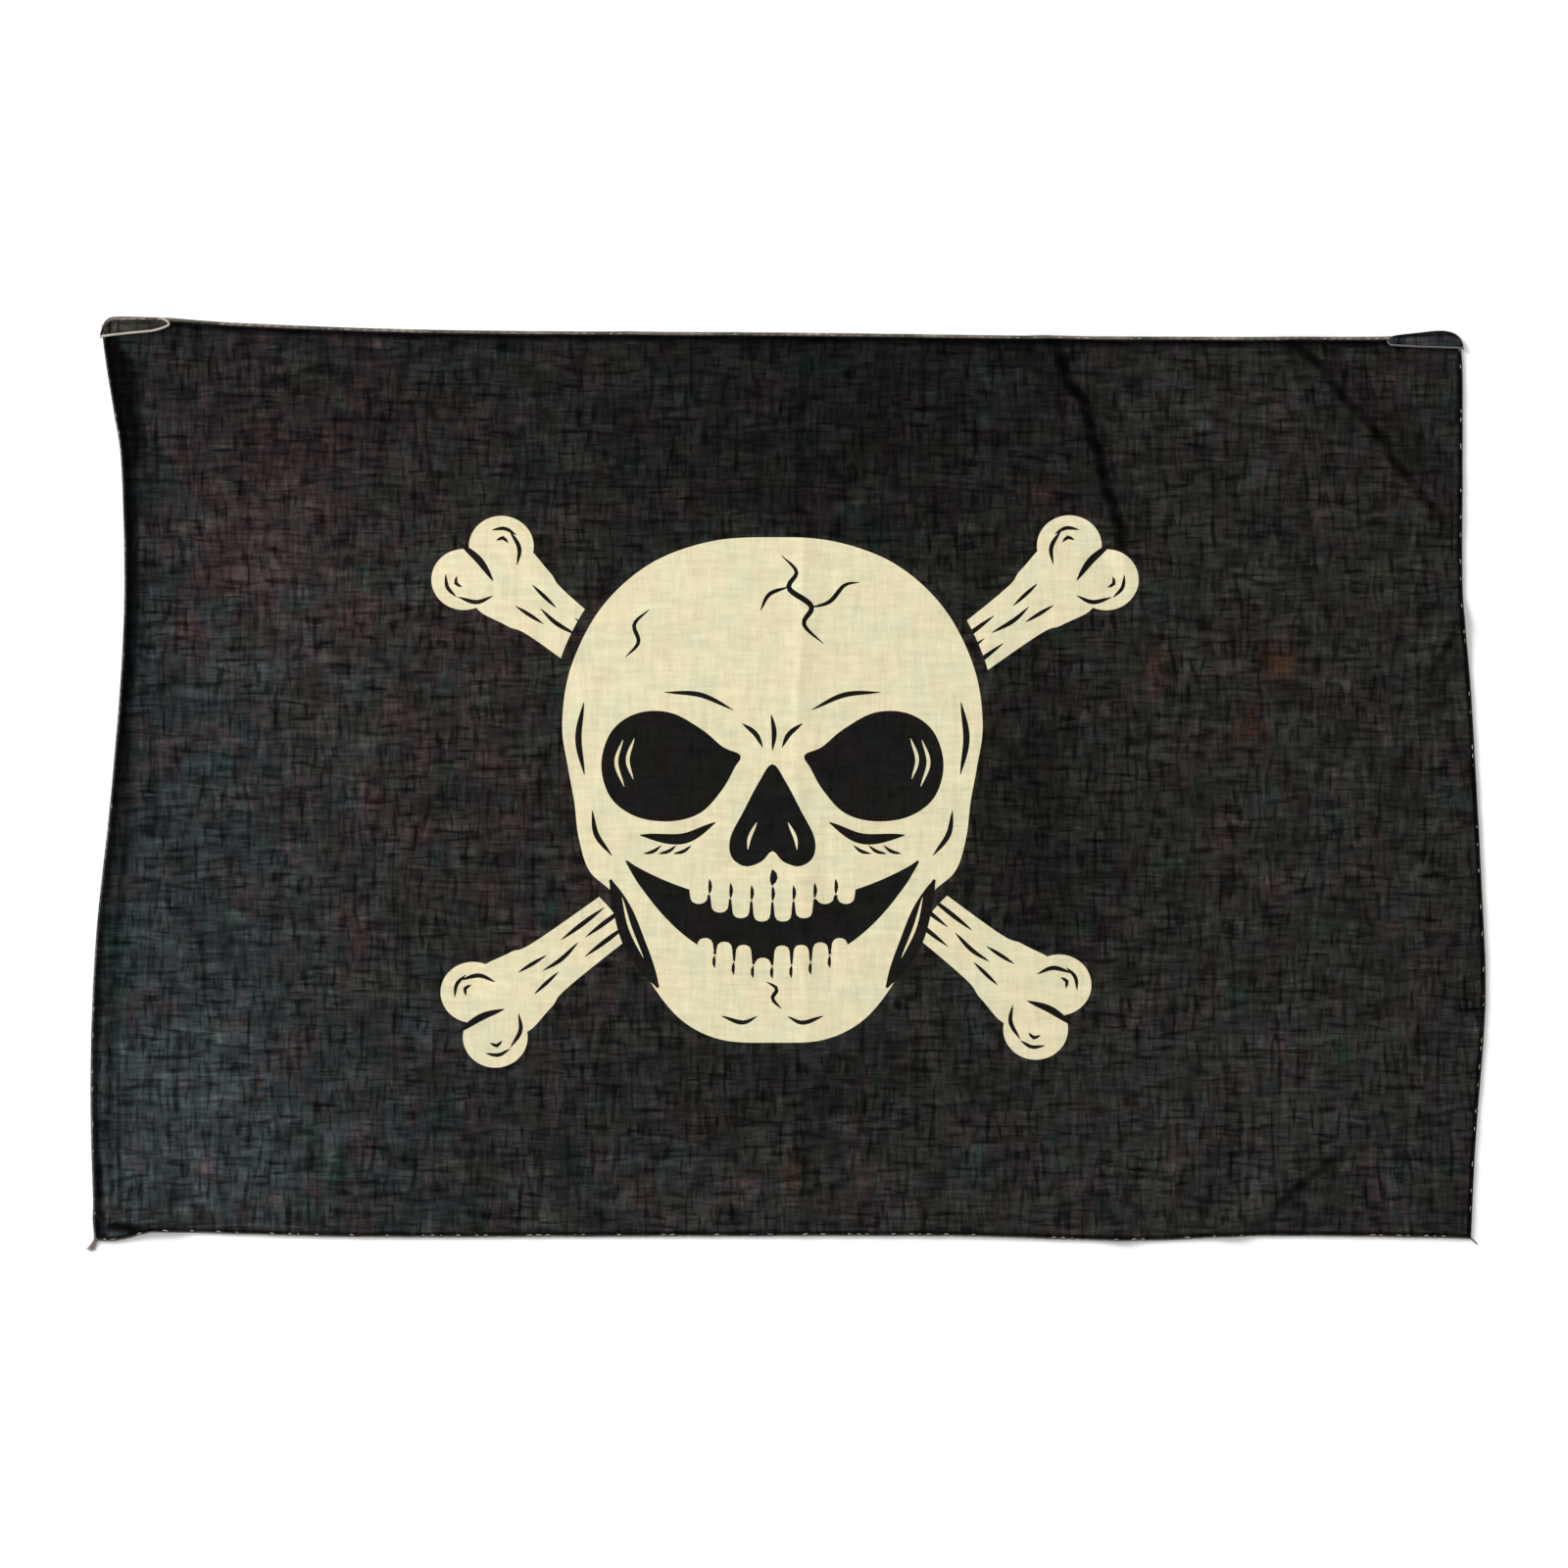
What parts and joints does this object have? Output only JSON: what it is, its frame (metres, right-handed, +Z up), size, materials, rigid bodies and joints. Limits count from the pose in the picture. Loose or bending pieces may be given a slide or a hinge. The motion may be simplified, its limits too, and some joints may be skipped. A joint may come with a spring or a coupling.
{
  "type": "cotton skull-and-crossbones flag",
  "caption": "Small rectangular black cotton flag with a rolled hem, a cream skull-and-crossbones print and turned-over top corners, spread flat and face up.",
  "frame": {"origin": "on the table under the middle of the cloth's outline", "axes": "+X along the flag's length, to the right as it is read from above; +Y up the motif; +Z up off the table"},
  "size_m": [0.4652, 0.3112, 0.0045],
  "materials": {
    "muslin": "faded black plain-weave cotton, slubby and slightly sheer, with an undyed cream motif",
    "thread": "matt undyed cotton sewing thread"
  },
  "bodies": {
    "root": {"flag_cloth": "muslin"}
  },
  "joints": []
}
